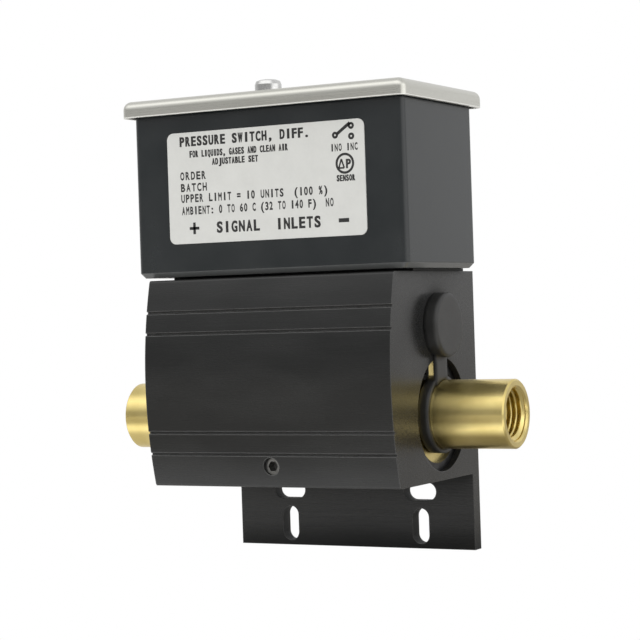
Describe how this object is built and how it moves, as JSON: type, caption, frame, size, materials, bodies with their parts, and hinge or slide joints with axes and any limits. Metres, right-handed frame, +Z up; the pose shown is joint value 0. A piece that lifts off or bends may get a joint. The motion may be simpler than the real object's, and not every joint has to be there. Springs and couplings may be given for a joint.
{
  "type": "differential pressure switch",
  "caption": "Differential pressure switch: grooved sensor body with a wall flange and brass ports on both ends, under a lidded box for the snap switch and wiring.",
  "frame": {"origin": "on the wall face of the mounting flange, midway between the upper pair of slots", "axes": "+X along the ports towards the low port, +Y into the wall, +Z up towards the cover"},
  "size_m": [0.112, 0.0507, 0.1233],
  "materials": {
    "anodised_body": "black anodised extrusion, satin",
    "painted_housing": "black powder coat on cast aluminium",
    "stainless_cover": "pressed stainless sheet, satin",
    "brass": "turned",
    "bronze": "formed bellows",
    "steel": "zinc plated",
    "dark_steel": "black oxide",
    "plug_rubber": "moulded rubber, matte",
    "seal_rubber": "rubber sheet",
    "plate_white": "printed plate",
    "switch_plastic": "moulded thermoset",
    "plunger_plastic": "moulded",
    "scale_metal": "printed sheet",
    "ground_green": "green plated"
  },
  "bodies": {
    "body": {"sensor_body": "anodised_body", "high_port": "brass", "low_port": "brass", "high_port_seal": "seal_rubber", "low_port_seal": "seal_rubber", "high_retaining_ring": "dark_steel", "low_retaining_ring": "dark_steel", "high_bellows": "bronze", "low_bellows": "bronze", "pivot_screw": "dark_steel", "adjuster_bushing": "brass", "range_spring": "steel", "housing_gasket": "seal_rubber", "switch_housing": "painted_housing", "housing_screws": "steel", "nameplate": "plate_white", "switch_case": "switch_plastic", "switch_screws": "steel", "switch_bracket": "steel", "bracket_screws": "steel", "switch_terminals": "brass", "terminal_screws": "steel", "scale_plate": "scale_metal", "scale_screws": "steel", "ground_screw": "ground_green"},
    "cover": {"cover": "stainless_cover", "cover_gasket": "seal_rubber", "cover_screw_front": "steel", "cover_screw_rear": "steel"},
    "plug": {"adjuster_plug": "plug_rubber"},
    "adjuster": {"adjusting_screw": "steel"},
    "nut": {"spring_nut": "brass"},
    "lever": {"lever": "steel"},
    "plunger": {"switch_plunger": "plunger_plastic"},
    "high_thrust": {"high_thrust_pin": "steel"},
    "low_thrust": {"low_thrust_pin": "steel"}
  },
  "joints": [
    {"name": "cover_lift", "type": "slide", "parent": "body", "child": "cover", "axis": [0, 0, 1], "range_m": [0, 0.04]},
    {"name": "plug_pull", "type": "slide", "parent": "body", "child": "plug", "axis": [1, 0, 0], "range_m": [0, 0.016]},
    {"name": "adjuster_turn", "type": "hinge", "parent": "body", "child": "adjuster", "pos_m": [0.03, -0.0233, 0.0445], "axis": [1, 0, 0], "range_deg": [-900, 900]},
    {"name": "nut_slide", "type": "slide", "parent": "body", "child": "nut", "axis": [1, 0, 0], "range_m": [-0.0025, 0.0025]},
    {"name": "lever_pivot", "type": "hinge", "parent": "body", "child": "lever", "pos_m": [0, -0.0225, 0.0103], "axis": [0, 1, 0], "range_deg": [0, 1.5], "stiffness_Nm_per_rad": 0.3, "deforming": ["range_spring", "high_bellows", "low_bellows"]},
    {"name": "plunger_slide", "type": "slide", "parent": "body", "child": "plunger", "axis": [1, 0, 0], "range_m": [0, 0.0017]},
    {"name": "high_thrust_slide", "type": "slide", "parent": "body", "child": "high_thrust", "axis": [1, 0, 0], "range_m": [0, 0.0003]},
    {"name": "low_thrust_slide", "type": "slide", "parent": "body", "child": "low_thrust", "axis": [1, 0, 0], "range_m": [0, 0.0003]}
  ],
  "couplings": [
    {"joint": "adjuster_turn", "follows": "nut_slide", "rad_per_m": -6283},
    {"joint": "plunger_slide", "follows": "lever_pivot", "m_per_rad": 0.0644},
    {"joint": "high_thrust_slide", "follows": "lever_pivot", "m_per_rad": 0.01145},
    {"joint": "low_thrust_slide", "follows": "lever_pivot", "m_per_rad": 0.01145}
  ]
}
